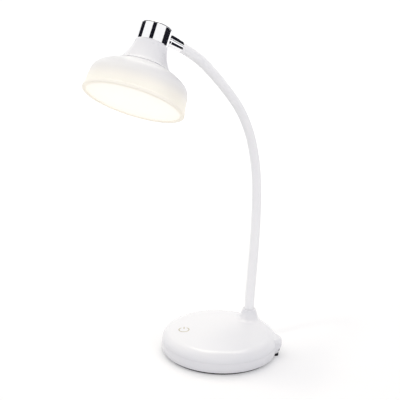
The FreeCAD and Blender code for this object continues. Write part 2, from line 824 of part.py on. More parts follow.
# ---------------------------------------------------------------- ferrule and swivel
def along_swivel(shape):
    """Places a piece built up +Z from the ferrule's mouth onto the ferrule's axis."""
    place = FreeCAD.Placement(ferrule_mouth, FreeCAD.Rotation(Z_AXIS, ferrule_axis))
    shape.Placement = place.multiply(shape.Placement)
    return shape


def neck_ferrule():
    outline = [
        (sleeve_radius + fit_gap, 0),
        (ferrule_neck_radius, 0),
        (ferrule_head_radius, ferrule_length),
        (stud_radius + fit_gap, ferrule_length),
        (stud_radius + fit_gap, stud_seat),
        (stud_flange_radius + fit_gap, stud_seat),
        (stud_flange_radius + fit_gap, ferrule_pocket),
        (sleeve_radius + fit_gap, ferrule_pocket),
    ]
    return along_swivel(turned_solid(outline, [0, ferrule_rounds[0], ferrule_rounds[1], 0, 0, 0, 0, 0]))


def head_distance(distance):
    """Height above the ferrule's mouth of a plane at a distance from the head's axis."""
    return ferrule_length + swivel_gap + socket_reach - distance


def swivel_stud():
    low = stud_seat - stud_flange_height
    end = head_distance(nut_inner - stud_end)
    outline = [
        (stud_bore, low),
        (stud_flange_radius, low),
        (stud_flange_radius, stud_seat),
        (stud_radius, stud_seat),
        (stud_radius, end),
        (stud_bore, end),
    ]
    return along_swivel(turned_solid(outline, [0, stud_rounds[0], 0, 0, stud_rounds[1], 0]))


def swivel_washer():
    low = head_distance(washer_outer)
    return along_swivel(pipe(swivel_washer_radius, stud_radius + fit_gap, V(0, 0, low), Z_AXIS,
                             swivel_washer_thickness))


def swivel_nut():
    return along_swivel(hex_nut(swivel_nut_flats, stud_radius + fit_gap, V(0, 0, head_distance(nut_outer)),
                                Z_AXIS, swivel_nut_height))


# ---------------------------------------------------------------- lamp head, in its own frame
socket_angle = math.radians(socket_rise)
socket_axis = V(0, math.cos(socket_angle), math.sin(socket_angle))
swivel_local = V(0, 0, swivel_height)


def head_place():
    """From the head's own frame (mouth plane, axis up, socket towards +Y) to the lamp."""
    tilt = 90.0 - neck_leans[-1] + socket_rise
    lean = FreeCAD.Placement(V(0, 0, 0), FreeCAD.Rotation(X_AXIS, -tilt))
    drop = FreeCAD.Placement(swivel_local * -1, FreeCAD.Rotation())
    twist = FreeCAD.Placement(V(0, 0, 0), FreeCAD.Rotation(ferrule_axis * -1, head_turn))
    lift = FreeCAD.Placement(swivel_point, FreeCAD.Rotation())
    return lift.multiply(twist).multiply(lean).multiply(drop)


def cap():
    outline = [
        (cap_radius - cap_wall, cap_bottom),
        (cap_radius, cap_bottom),
        (cap_radius, cap_top),
        (0, cap_top),
        (0, cap_top - cap_wall),
        (cap_radius - cap_wall, cap_top - cap_wall),
    ]
    cup = turned_solid(outline, [cap_mouth_rounds[0], cap_mouth_rounds[1], cap_edge, 0, 0, cap_edge])
    inside = cap_radius - cap_wall
    room = rod(inside, V(0, 0, cap_bottom - cut_past), Z_AXIS, cap_top - cap_wall - cap_bottom + cut_past)
    lump = rod(socket_radius, swivel_local, socket_axis, socket_reach).cut(room)
    cup = cup.fuse(lump)
    cup = cup.cut(rod(bush_radius + fit_gap, swivel_local, socket_axis, socket_reach + cut_past))
    cup = cup.cut(rod(bush_flange_radius + bush_flange_gap, swivel_local, socket_axis, cap_flat))
    return cup.removeSplitter()


def swivel_bush():
    stem = pipe(bush_radius, stud_radius + fit_gap, swivel_local + socket_axis * cap_flat, socket_axis,
                socket_reach - cap_flat - bush_end_gap)
    flange = pipe(bush_flange_radius, stud_radius + fit_gap, swivel_local + socket_axis * bush_inner,
                  socket_axis, bush_flange_height)
    return stem.fuse(flange).removeSplitter()


def shade_stem():
    """Flared neck between the cap and the bell, with the spigot that the cap grips."""
    top = cap_bottom - stem_cap_gap
    root = top - spigot_root
    spigot_bore = spigot_radius - spigot_wall
    waist = V(stem_top_radius + stem_waist[0] * stem_flare, 0, top - stem_waist[1])
    low = V(stem_top_radius + stem_low[0] * stem_flare, 0, top - stem_low[1])
    edge = V(stem_foot_radius, 0, stem_foot + stem_edge)
    slope = math.radians(crown_slope)
    outer = Part.BSplineCurve()
    outer.interpolate(
        Points=[V(stem_top_radius, 0, top), waist, low, edge],
        InitialTangent=V(stem_top_lean, 0, -1),
        FinalTangent=V(math.cos(slope), 0, -math.sin(slope)),
    )
    floor_corner = V(stem_foot_radius - stem_floor_reach, 0, stem_foot + stem_wall)
    inner = Part.Arc(floor_corner, waist - V(stem_wall, 0, 0), V(spigot_bore, 0, root))
    corners = [
        V(spigot_bore, 0, spigot_top),
        V(spigot_radius, 0, spigot_top),
        V(spigot_radius, 0, top),
        V(stem_top_radius, 0, top),
    ]
    edges = [Part.LineSegment(V(spigot_bore, 0, root), corners[0]).toShape()]
    for a, b in zip(corners[:-1], corners[1:]):
        edges.append(Part.LineSegment(a, b).toShape())
    edges.append(outer.toShape())
    floor = [
        edge,
        V(stem_foot_radius, 0, stem_foot),
        V(bell_hole, 0, stem_foot),
        V(bell_hole, 0, stem_foot + stem_wall),
        floor_corner,
    ]
    for a, b in zip(floor[:-1], floor[1:]):
        edges.append(Part.LineSegment(a, b).toShape())
    edges.append(inner.toShape())
    shell = Part.Face(Part.Wire(edges)).revolve(V(0, 0, 0), Z_AXIS, 360)
    for azimuth in stem_screw_azimuths:
        boss = rod(stem_boss_radius, V(0, 0, stem_foot), Z_AXIS, stem_boss_height)
        shell = shell.fuse(around(boss, azimuth, stem_screw_circle))
    for azimuth in stem_screw_azimuths:
        hole = rod(screw_shank_radius + fit_gap, V(0, 0, stem_foot - cut_past), Z_AXIS, stem_boss_height)
        shell = shell.cut(around(hole, azimuth, stem_screw_circle))
    return shell.removeSplitter()


def bell_outline():
    return [
        (0, stem_foot),
        (stem_foot_radius - crown_tuck, stem_foot),
        bell_bend_high,
        bell_bend_low,
        (bell_radius, bell_bottom),
    ]


def bell_form(inset):
    points = bell_outline()
    if inset:
        points = inset_outline(points, inset)
        points[0] = (0, points[0][1])
    points = points + [(0, points[-1][1])]
    return turned_solid(points, [0, bell_top_round, bell_high_round - inset, bell_low_round - inset, 0, 0])


def shade_bell():
    """Translucent bell: soft crown, round shoulder and flared skirt, with three bosses inside."""
    shell = bell_form(0).cut(bell_form(bell_wall))
    low = led_plate_height + led_plate_thickness
    for azimuth in led_boss_azimuths:
        boss = rod(led_boss_radius, V(0, 0, low), Z_AXIS, stem_foot - low)
        boss = around(boss, azimuth, led_boss_circle).common(bell_form(bell_wall / 2))
        shell = shell.fuse(boss)
    for azimuth in led_boss_azimuths:
        hole = rod(screw_shank_radius + fit_gap, V(0, 0, low), Z_AXIS, led_boss_hole_depth)
        shell = shell.cut(around(hole, azimuth, led_boss_circle))
    shell = shell.cut(rod(bell_hole, V(0, 0, low), Z_AXIS, stem_foot))
    for azimuth in stem_screw_azimuths:
        hole = rod(screw_shank_radius + screw_pass_gap, V(0, 0, low), Z_AXIS, stem_foot)
        shell = shell.cut(around(hole, azimuth, stem_screw_circle))
    return shell.removeSplitter()


def head_screws():
    """Three screws up into the stem and three up into the bell's bosses."""
    screws = []
    sets = (
        (stem_screw_azimuths, stem_screw_circle, stem_foot - bell_wall),
        (led_boss_azimuths, led_boss_circle, led_plate_height),
    )
    for azimuths, circle, seat in sets:
        for azimuth in azimuths:
            head = rod(head_screw_radius, V(0, 0, seat - head_screw_head), Z_AXIS, head_screw_head)
            shank = rod(screw_shank_radius, V(0, 0, seat), Z_AXIS, head_screw_length)
            screws.append(around(head.fuse(shank), azimuth, circle))
    return Part.makeCompound(screws)


def led_plate():
    plate = pipe(led_plate_radius, led_plate_hole, V(0, 0, led_plate_height), Z_AXIS, led_plate_thickness)
    for azimuth in led_boss_azimuths:
        hole = rod(screw_shank_radius + screw_pass_gap, V(0, 0, 0), Z_AXIS, stem_foot)
        plate = plate.cut(around(hole, azimuth, led_boss_circle))
    return plate


def led_chips():
    chips = []
    for set_in, count in led_rings:
        circle = led_plate_radius - set_in
        for i in range(count):
            chip = box_at(led_size[1], led_size[0], led_plate_height - led_size[2], led_plate_height)
            chips.append(around(chip, 360.0 * i / count, circle))
    return Part.makeCompound(chips)


def rim_ring():
    """Ring that closes the bell's mouth and carries the diffuser disc on its lip."""
    outline = [
        (rim_opening, 0),
        (rim_radius, 0),
        (rim_radius, rim_height),
        (disc_radius + disc_gap, rim_height),
        (disc_radius + disc_gap, rim_lip),
        (rim_opening, rim_lip),
    ]
    return turned_solid(outline, [rim_rounds[0], rim_rounds[1], rim_rounds[2], 0, 0, rim_rounds[3]])


def diffuser_disc():
    return rod(disc_radius, V(0, 0, rim_lip), Z_AXIS, disc_thickness)


# ---------------------------------------------------------------- build
def write(name, shape, place=None):
    if place is not None:
        shape = shape.copy()
        shape.Placement = place.multiply(shape.Placement)
    shape.exportStep("parts/" + name + ".step")
    print(name, "solids", len(shape.Solids), "valid", shape.isValid(), "volume", round(shape.Volume, 1))


def main():
    os.makedirs("parts", exist_ok=True)
    write("base_top_shell", base_top_shell())
    write("base_bottom_shell", base_bottom_shell())
    write("foot_pad", foot_pad())
    write("base_screws", base_screws())
    write("counterweight", counterweight())
    write("battery_pouch", battery_pouch())
    write("main_board", main_board())
    write("charge_socket", charge_socket())
    write("socket_bezel", socket_bezel())
    write("touch_electrode", touch_electrode())
    write("neck_nipple", neck_nipple())
    write("neck_washer", neck_washer())
    write("neck_lock_nut", neck_lock_nut())
    for index in range(len(neck_runs)):
        write("neck_sleeve_%d" % index, neck_sleeve(index))
        write("neck_core_%d" % index, neck_core(index))
    write("neck_ferrule", neck_ferrule())
    write("swivel_stud", swivel_stud())
    write("swivel_washer", swivel_washer())
    write("swivel_nut", swivel_nut())
    place = head_place()
    write("cap", cap(), place)
    write("swivel_bush", swivel_bush(), place)
    write("shade_stem", shade_stem(), place)
    write("shade_bell", shade_bell(), place)
    write("head_screws", head_screws(), place)
    write("led_plate", led_plate(), place)
    write("led_chips", led_chips(), place)
    write("rim_ring", rim_ring(), place)
    write("diffuser_disc", diffuser_disc(), place)
    print("pivots")
    for i, pivot in enumerate(pivots):
        print(i + 1, round(pivot.y, 4), round(pivot.z, 4), "lean", neck_leans[i + 1])
    print("swivel point", round(swivel_point.y, 4), round(swivel_point.z, 4))


main()
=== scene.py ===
import json
import math

import bmesh
import bpy
from mathutils import Matrix, Vector

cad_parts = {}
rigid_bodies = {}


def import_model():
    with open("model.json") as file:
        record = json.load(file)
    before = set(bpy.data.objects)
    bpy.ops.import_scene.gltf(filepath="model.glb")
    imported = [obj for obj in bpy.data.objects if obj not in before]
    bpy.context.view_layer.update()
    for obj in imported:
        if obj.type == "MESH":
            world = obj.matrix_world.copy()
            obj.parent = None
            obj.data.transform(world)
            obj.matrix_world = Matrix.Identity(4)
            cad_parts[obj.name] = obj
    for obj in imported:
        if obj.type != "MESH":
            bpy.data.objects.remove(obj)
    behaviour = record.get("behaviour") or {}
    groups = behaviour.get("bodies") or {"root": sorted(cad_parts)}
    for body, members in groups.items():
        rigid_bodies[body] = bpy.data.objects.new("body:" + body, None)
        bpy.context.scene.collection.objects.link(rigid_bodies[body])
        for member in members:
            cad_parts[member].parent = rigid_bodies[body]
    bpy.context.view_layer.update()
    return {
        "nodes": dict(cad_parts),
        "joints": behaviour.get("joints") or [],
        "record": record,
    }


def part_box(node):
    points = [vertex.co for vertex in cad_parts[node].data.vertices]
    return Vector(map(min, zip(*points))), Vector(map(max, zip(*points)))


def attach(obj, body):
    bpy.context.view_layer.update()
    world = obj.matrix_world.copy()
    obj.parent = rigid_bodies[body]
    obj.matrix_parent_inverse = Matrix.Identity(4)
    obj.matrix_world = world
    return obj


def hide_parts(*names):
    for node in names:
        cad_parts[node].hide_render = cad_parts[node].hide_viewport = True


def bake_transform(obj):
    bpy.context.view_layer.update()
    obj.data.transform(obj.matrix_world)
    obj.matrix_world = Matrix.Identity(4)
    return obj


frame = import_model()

# Cordless touch lamp on a flexible gooseneck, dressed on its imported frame, in metres.
# Z is up, the lamp stands on the table at the origin and its head reaches forward, towards -Y.


# ---------------------------------------------------------------- camera
camera_azimuth = math.radians(44.0)         # round the lamp, from its front to its right
camera_elevation = math.radians(17.0636)
camera_roll = math.radians(1.677)
camera_distance = 1.0
camera_lens = 89.614                        # on the usual 36 mm wide sensor
camera_target = Vector((-0.0201, -0.0146, 0.1628))
camera_clip = (0.05, 20)                    # nearest and farthest distance it sees


def place_camera():
    across = Vector((math.cos(camera_azimuth), math.sin(camera_azimuth), 0))
    back = Vector((
        math.sin(camera_azimuth) * math.cos(camera_elevation),
        -math.cos(camera_azimuth) * math.cos(camera_elevation),
        math.sin(camera_elevation),
    ))
    upward = back.cross(across)
    right = across * math.cos(camera_roll) + upward * math.sin(camera_roll)
    up = upward * math.cos(camera_roll) - across * math.sin(camera_roll)
    camera = bpy.data.objects.new("camera", bpy.data.cameras.new("camera"))
    camera.data.lens = camera_lens
    camera.data.clip_start, camera.data.clip_end = camera_clip
    turn = Matrix((right, up, back)).transposed().to_4x4()
    camera.matrix_world = Matrix.Translation(camera_target + back * camera_distance) @ turn
    bpy.context.scene.collection.objects.link(camera)
    bpy.context.scene.camera = camera


place_camera()


# ---------------------------------------------------------------- sizes taken from the frame
def lowest(node):
    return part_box(node)[0]


def highest(node):
    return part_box(node)[1]


def middle(node):
    return (lowest(node) + highest(node)) / 2


def flat_side(node):
    """Direction that a disc faces: the normal of its largest facet, turned upwards."""
    facet = max(frame["nodes"][node].data.polygons, key=lambda face: face.area)
    return facet.normal if facet.normal.z > 0 else -facet.normal


mouth_middle = middle("diffuser_disc")
head_axis = flat_side("diffuser_disc")
hinges = [Vector(joint["pos_m"]) for joint in frame["joints"] if joint["name"].startswith("neck_")]


# ---------------------------------------------------------------- shader building blocks
def new_material(name):
    """A material with an empty Principled shader wired to its output."""
    material = bpy.data.materials.new(name)
    material.use_nodes = True
    nodes = material.node_tree.nodes
    nodes.clear()
    output = nodes.new("ShaderNodeOutputMaterial")
    shader = nodes.new("ShaderNodeBsdfPrincipled")
    material.node_tree.links.new(shader.outputs["BSDF"], output.inputs["Surface"])
    return material, shader


def new_group(name, inputs, outputs):
    """A shader node group from (name, kind, default) inputs and (name, kind) outputs."""
    group = bpy.data.node_groups.new(name, "ShaderNodeTree")
    for label, kind, default in inputs:
        socket = group.interface.new_socket(label, in_out="INPUT", socket_type="NodeSocket" + kind)
        socket.default_value = default
    for label, kind in outputs:
        group.interface.new_socket(label, in_out="OUTPUT", socket_type="NodeSocket" + kind)
    return group, group.nodes.new("NodeGroupInput"), group.nodes.new("NodeGroupOutput")


def place_group(material, group, **values):
    """Puts a group in a material with its own values; underscores stand for spaces."""
    node = material.node_tree.nodes.new("ShaderNodeGroup")
    node.node_tree = group
    for label, value in values.items():
        node.inputs[label.replace("_", " ")].default_value = value
    return node


def join(tree, source, target):
    tree.links.new(source, target)


def noise(tree, place, scale, detail, roughness=0.5):
    """A Noise Texture at a place; its scale is a number or an output socket."""
    node = tree.nodes.new("ShaderNodeTexNoise")
    if isinstance(scale, (int, float)):
        node.inputs["Scale"].default_value = scale
    else:
        join(tree, scale, node.inputs["Scale"])
    node.inputs["Detail"].default_value = detail
    node.inputs["Roughness"].default_value = roughness
    join(tree, place, node.inputs["Vector"])
    return node


def maths(tree, operation, first, second, third=0.0):
    """A Math node; each value is a number or an output socket."""
    node = tree.nodes.new("ShaderNodeMath")
    node.operation = operation
    for slot, value in zip(node.inputs, (first, second, third)):
        if isinstance(value, (int, float)):
            slot.default_value = value
        else:
            join(tree, value, slot)
    return node.outputs["Value"]


def spread(tree, value, low, high, to_low, to_high):
    """Map Range from one span of values to another, held at its ends."""
    node = tree.nodes.new("ShaderNodeMapRange")
    join(tree, value, node.inputs["Value"])
    for label, number in (("From Min", low), ("From Max", high), ("To Min", to_low), ("To Max", to_high)):
        if isinstance(number, (int, float)):
            node.inputs[label].default_value = number
        else:
            join(tree, number, node.inputs[label])
    return node.outputs["Result"]


def blend_colours(tree, share, first, second):
    """Mix of two colours, each a tuple or an output socket; a share of 1 gives the second."""
    node = tree.nodes.new("ShaderNodeMix")
    node.data_type = "RGBA"
    colour_slots = [slot for slot in node.inputs if slot.type == "RGBA"]
    for slot, value in zip(colour_slots, (first, second)):
        if isinstance(value, tuple):
            slot.default_value = value
        else:
            join(tree, value, slot)
    join(tree, share, node.inputs[0])
    return [slot for slot in node.outputs if slot.type == "RGBA"][0]


# ---------------------------------------------------------------- effects shared by the finishes
cloud_scale = 22.0                  # noise scales, in waves to the metre
handling_scale = 60.0
dust_scale = 420.0
glow_patch_scale = 45.0
stain_scale = 130.0
hairline_stretch = 0.06             # hairlines in metal run along Z


def moulded_skin_group():
    """Fine ripple and faint cloudiness that a moulding tool leaves in plastic."""
    group, given, result = new_group(
        "moulded_skin",
        [
            ("Colour", "Color", (0.8, 0.8, 0.8, 1)),
            ("Cloudy Colour", "Color", (0.78, 0.78, 0.78, 1)),
            ("Ripple Scale", "Float", 900.0),
            ("Smooth", "Float", 0.25),
            ("Dull", "Float", 0.35),
        ],
        [("Colour", "Color"), ("Roughness", "Float"), ("Height", "Float")],
    )
    place = group.nodes.new("ShaderNodeTexCoord").outputs["Object"]
    clouds = noise(group, place, cloud_scale, detail=3.0).outputs["Fac"]
    ripple = noise(group, place, given.outputs["Ripple Scale"], detail=1.0)
    tinted = blend_colours(group, spread(group, clouds, 0.35, 0.7, 0.0, 1.0),
                           given.outputs["Colour"], given.outputs["Cloudy Colour"])
    handled = noise(group, place, handling_scale, detail=5.0, roughness=0.65).outputs["Fac"]
    dulled = spread(group, handled, 0.35, 0.75, given.outputs["Smooth"], given.outputs["Dull"])
    join(group, tinted, result.inputs["Colour"])
    join(group, dulled, result.inputs["Roughness"])
    join(group, ripple.outputs["Fac"], result.inputs["Height"])
    return group


def settled_dust_group():
    """Thin dust on the sides that face up."""
    group, given, result = new_group(
        "settled_dust",
        [
            ("Colour", "Color", (0.8, 0.8, 0.8, 1)),
            ("Dust Colour", "Color", (0.7, 0.68, 0.65, 1)),
            ("Amount", "Float", 0.1),
        ],
        [("Colour", "Color")],
    )
    coordinates = group.nodes.new("ShaderNodeTexCoord")
    upright = group.nodes.new("ShaderNodeSeparateXYZ")
    join(group, coordinates.outputs["Normal"], upright.inputs["Vector"])
    level = spread(group, upright.outputs["Z"], 0.3, 1.0, 0.0, 1.0)
    specks = noise(group, coordinates.outputs["Object"], dust_scale, detail=4.0, roughness=0.7).outputs["Fac"]
    lying = maths(group, "MULTIPLY", level, spread(group, specks, 0.5, 0.72, 0.0, 1.0))
    share = maths(group, "MULTIPLY", lying, given.outputs["Amount"])
    join(group, blend_colours(group, share, given.outputs["Colour"], given.outputs["Dust Colour"]),
         result.inputs["Colour"])
    return group


def lamplight_group():
    """Share of the lamp's own light, from full at the head's mouth to none further up its axis."""
    group, given, result = new_group(
        "lamplight",
        [
            ("Glow Colour", "Color", (1.0, 0.9, 0.7, 1)),
            ("Full Below", "Float", 0.01),
            ("None Above", "Float", 0.04),
            ("Blotch", "Float", 0.15),
        ],
        [("Colour", "Color"), ("Share", "Float")],
    )
    place = group.nodes.new("ShaderNodeTexCoord").outputs["Object"]
    offset = group.nodes.new("ShaderNodeVectorMath")
    offset.operation = "SUBTRACT"
    join(group, place, offset.inputs[0])
    offset.inputs[1].default_value = mouth_middle
    along = group.nodes.new("ShaderNodeVectorMath")
    along.operation = "DOT_PRODUCT"
    join(group, offset.outputs["Vector"], along.inputs[0])
    along.inputs[1].default_value = head_axis
    height = along.outputs["Value"]
    fade = group.nodes.new("ShaderNodeMapRange")
    fade.interpolation_type = "SMOOTHSTEP"
    join(group, height, fade.inputs["Value"])
    join(group, given.outputs["Full Below"], fade.inputs["From Min"])
    join(group, given.outputs["None Above"], fade.inputs["From Max"])
    fade.inputs["To Min"].default_value = 1.0
    fade.inputs["To Max"].default_value = 0.0
    patches = noise(group, place, glow_patch_scale, detail=1.0).outputs["Fac"]
    centred = maths(group, "SUBTRACT", patches, 0.5)
    uneven = maths(group, "MULTIPLY_ADD", centred, given.outputs["Blotch"], 1.0)
    share = maths(group, "MULTIPLY", fade.outputs["Result"], uneven)
    join(group, blend_colours(group, share, (0.0, 0.0, 0.0, 1), given.outputs["Glow Colour"]),
         result.inputs["Colour"])
    join(group, share, result.inputs["Share"])
    return group


def worked_metal_group():
    """Hairline marks of turning, pressing or polishing in a metal surface."""
    group, given, result = new_group(
        "worked_metal",
        [
            ("Colour", "Color", (0.6, 0.6, 0.6, 1)),
            ("Mark Colour", "Color", (0.5, 0.5, 0.5, 1)),
            ("Grain Scale", "Float", 1500.0),
            ("Smooth", "Float", 0.2),
            ("Dull", "Float", 0.4),
        ],
        [("Colour", "Color"), ("Roughness", "Float"), ("Height", "Float")],
    )
    place = group.nodes.new("ShaderNodeTexCoord").outputs["Object"]
    stretch = group.nodes.new("ShaderNodeMapping")
    stretch.inputs["Scale"].default_value = (1.0, 1.0, hairline_stretch)
    join(group, place, stretch.inputs["Vector"])
    grain = noise(group, stretch.outputs["Vector"], given.outputs["Grain Scale"], detail=3.0)
    stains = noise(group, place, stain_scale, detail=4.0).outputs["Fac"]
    marked = maths(group, "MULTIPLY", grain.outputs["Fac"], stains)
    share = spread(group, marked, 0.15, 0.45, 0.0, 1.0)
    join(group, blend_colours(group, share, given.outputs["Colour"], given.outputs["Mark Colour"]),
         result.inputs["Colour"])
    dulled = spread(group, share, 0.0, 1.0, given.outputs["Smooth"], given.outputs["Dull"])
    join(group, dulled, result.inputs["Roughness"])
    join(group, grain.outputs["Fac"], result.inputs["Height"])
    return group


moulded_skin = moulded_skin_group()
settled_dust = settled_dust_group()
lamplight = lamplight_group()
worked_metal = worked_metal_group()


def raise_surface(material, shader, height, depth):
    """Bump from a height between 0 and 1, depth being its real size."""
    bump = material.node_tree.nodes.new("ShaderNodeBump")
    bump.inputs["Strength"].default_value = 1.0
    bump.inputs["Distance"].default_value = depth
    join(material.node_tree, height, bump.inputs["Height"])
    join(material.node_tree, bump.outputs["Normal"], shader.inputs["Normal"])


# ---------------------------------------------------------------- finishes
def plastic(name, colour, cloudy, smooth, dull, ripple, depth, dust=0.0):
    """A moulded plastic: two tones, the span of its roughness, the ripple's scale and depth, and its dust."""
    material, shader = new_material(name)
    tree = material.node_tree
    skin = place_group(material, moulded_skin, Colour=colour, Cloudy_Colour=cloudy,
                       Ripple_Scale=ripple, Smooth=smooth, Dull=dull)
    shown = skin.outputs["Colour"]
    if dust:
        dusty = place_group(material, settled_dust, Amount=dust)
        join(tree, shown, dusty.inputs["Colour"])
        shown = dusty.outputs["Colour"]
    join(tree, shown, shader.inputs["Base Color"])
    join(tree, skin.outputs["Roughness"], shader.inputs["Roughness"])
    raise_surface(material, shader, skin.outputs["Height"], depth)
    return material, shader


def metal(name, colour, marks, smooth, dull, grain, depth):
    """A bare metal: its tone and its marks', the span of its roughness, and the grain's scale and depth."""
    material, shader = new_material(name)
    tree = material.node_tree
    surface = place_group(material, worked_metal, Colour=colour, Mark_Colour=marks,
                          Grain_Scale=grain, Smooth=smooth, Dull=dull)
    shader.inputs["Metallic"].default_value = 1.0
    join(tree, surface.outputs["Colour"], shader.inputs["Base Color"])
    join(tree, surface.outputs["Roughness"], shader.inputs["Roughness"])
    raise_surface(material, shader, surface.outputs["Height"], depth)
    return material


def glossy_housing():
    """Polished white moulding of the base."""
    return plastic("glossy_housing", colour=(0.84, 0.84, 0.86, 1), cloudy=(0.83, 0.83, 0.855, 1),
                   smooth=0.13, dull=0.18, ripple=700.0, depth=1e-6)[0]


def stem_plastic():
    """White moulding between the cap and the bell."""
    return plastic("stem_plastic", colour=(0.84, 0.84, 0.86, 1), cloudy=(0.83, 0.83, 0.855, 1),
                   smooth=0.26, dull=0.34, ripple=700.0, depth=1e-6)[0]


def soft_sleeve():
    """White silicone over the gooseneck."""
    material, shader = plastic("soft_sleeve", colour=(0.96, 0.96, 0.965, 1), cloudy=(0.945, 0.945, 0.955, 1),
                               smooth=0.42, dull=0.52, ripple=1600.0, depth=1e-6, dust=0.03)
    shader.inputs["Specular IOR Level"].default_value = 0.4
    return material


def lit_plastic(name, glow, full_below, none_above, blotch, smooth):
    """White plastic that the light inside shines through."""
    material, shader = plastic(name, colour=(0.82, 0.82, 0.835, 1), cloudy=(0.81, 0.81, 0.83, 1),
                               smooth=smooth, dull=smooth + 0.08, ripple=700.0, depth=1e-6)
    light = place_group(material, lamplight, Glow_Colour=glow, Full_Below=full_below,
                        None_Above=none_above, Blotch=blotch)
    join(material.node_tree, light.outputs["Colour"], shader.inputs["Emission Color"])
    shader.inputs["Emission Strength"].default_value = 1.0
    return material


def lit_bell():
    return lit_plastic("lit_bell", glow=(0.21, 0.175, 0.070, 1), full_below=0.001, none_above=0.024,
                       blotch=0.25, smooth=0.32)


def lit_rim():
    return lit_plastic("lit_rim", glow=(0.22, 0.18, 0.08, 1), full_below=0.004, none_above=0.030,
                       blotch=0.10, smooth=0.32)


warm_edge = (0.024, 0.043)          # from the disc's middle, where the warmer tone starts and is full


def lit_diffuser():
    """Opal disc with the light behind it, a touch warmer towards its edge."""
    material, shader = plastic("lit_diffuser", colour=(0.6, 0.59, 0.56, 1), cloudy=(0.6, 0.585, 0.55, 1),
                               smooth=0.35, dull=0.45, ripple=900.0, depth=3e-6)
    tree = material.node_tree
    place = tree.nodes.new("ShaderNodeTexCoord").outputs["Object"]
    reach = tree.nodes.new("ShaderNodeVectorMath")
    reach.operation = "DISTANCE"
    join(tree, place, reach.inputs[0])
    reach.inputs[1].default_value = mouth_middle
    edge = spread(tree, reach.outputs["Value"], *warm_edge, 0.0, 1.0)
    colour = blend_colours(tree, edge, (1.0, 0.98, 0.92, 1), (1.0, 0.95, 0.84, 1))
    join(tree, colour, shader.inputs["Emission Color"])
    shader.inputs["Emission Strength"].default_value = 0.50
    return material


def pad_rubber():
    """Dark foam rubber under the base."""
    material, shader = plastic("pad_rubber", colour=(0.012, 0.012, 0.014, 1), cloudy=(0.02, 0.02, 0.022, 1),
                               smooth=0.8, dull=0.95, ripple=2600.0, depth=5e-5)
    shader.inputs["Specular IOR Level"].default_value = 0.25
    return material


def dark_plastic():
    return plastic("dark_plastic", colour=(0.03, 0.03, 0.033, 1), cloudy=(0.04, 0.04, 0.044, 1),
                   smooth=0.45, dull=0.6, ripple=1800.0, depth=1e-5)[0]


def nylon():
    return plastic("nylon", colour=(0.62, 0.60, 0.54, 1), cloudy=(0.58, 0.56, 0.50, 1),
                   smooth=0.4, dull=0.5, ripple=1200.0, depth=5e-6)[0]


def green_board():
    """Solder mask of the control board."""
    return plastic("green_board", colour=(0.02, 0.13, 0.05, 1), cloudy=(0.02, 0.10, 0.04, 1),
                   smooth=0.25, dull=0.4, ripple=1500.0, depth=1e-5)[0]


def foil_cell():
    """Laminated foil of the battery pouch."""
    return metal("foil_cell", colour=(0.62, 0.63, 0.66, 1), marks=(0.5, 0.5, 0.53, 1),
                 smooth=0.3, dull=0.5, grain=500.0, depth=3e-5)


def light_chip():
    """Yellow phosphor of the light chips."""
    material, shader = plastic("light_chip", colour=(0.85, 0.68, 0.22, 1), cloudy=(0.80, 0.60, 0.18, 1),
                               smooth=0.35, dull=0.5, ripple=3000.0, depth=1e-5)
    shader.inputs["Emission Color"].default_value = (1.0, 0.85, 0.6, 1)
    shader.inputs["Emission Strength"].default_value = 1.0
    return material


def polished_chrome():
    """Mirror plating over the cap and the ferrule."""
    return metal("polished_chrome", colour=(0.965, 0.965, 0.975, 1), marks=(0.93, 0.93, 0.95, 1),
                 smooth=0.03, dull=0.07, grain=900.0, depth=5e-8)


def plated_steel():
    return metal("plated_steel", colour=(0.56, 0.57, 0.60, 1), marks=(0.42, 0.43, 0.46, 1),
                 smooth=0.25, dull=0.45, grain=2200.0, depth=2e-6)


def cast_iron():
    return metal("cast_iron", colour=(0.16, 0.16, 0.17, 1), marks=(0.24, 0.23, 0.22, 1),
                 smooth=0.5, dull=0.75, grain=800.0, depth=1e-4)


def aluminium_plate():
    return metal("aluminium_plate", colour=(0.72, 0.73, 0.74, 1), marks=(0.62, 0.62, 0.64, 1),
                 smooth=0.3, dull=0.45, grain=2600.0, depth=4e-6)


def copper_foil():
    return metal("copper_foil", colour=(0.72, 0.36, 0.22, 1), marks=(0.55, 0.27, 0.17, 1),
                 smooth=0.3, dull=0.5, grain=1200.0, depth=4e-6)


def touch_print():
    """Muted gold ink of the touch mark."""
    return plastic("touch_print", colour=(0.50, 0.45, 0.33, 1), cloudy=(0.44, 0.39, 0.28, 1),
                   smooth=0.4, dull=0.55, ripple=2500.0, depth=2e-6)[0]


finish_of_slot = {
    "housing": glossy_housing,
    "foot": pad_rubber,
    "steel": plated_steel,
    "iron": cast_iron,
    "cell": foil_cell,
    "board": green_board,
    "black_plastic": dark_plastic,
    "copper": copper_foil,
    "sleeve": soft_sleeve,
    "chrome": polished_chrome,
    "nylon": nylon,
    "stem": stem_plastic,
    "bell": lit_bell,
    "rim": lit_rim,
    "diffuser": lit_diffuser,
    "aluminium": aluminium_plate,
    "chip": light_chip,
}
finishes = {slot: make() for slot, make in finish_of_slot.items()}


def dress_frame():
    """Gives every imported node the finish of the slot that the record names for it."""
    for part in frame["record"]["subparts"]:
        for held in frame["nodes"][part["node"]].material_slots:
            held.material = finishes[part["material_slot"]]


dress_frame()


# ---------------------------------------------------------------- neck sleeve
sleeve_radius = 0.0049
sleeve_skin = 0.0006                # thickness of the sleeve's wall
sleeve_sides = 56
ring_pitch = 0.0015                 # between two rings along the neck
link_run = 0.054                    # from hinge to hinge along the neck
root_run = 0.023                    # from the collar's top to the first hinge
tip_run = 0.0445                    # from the last hinge to the ferrule
root_depth = 0.0063                 # sleeve inside the collar
tip_depth = 0.0056                  # sleeve inside the ferrule
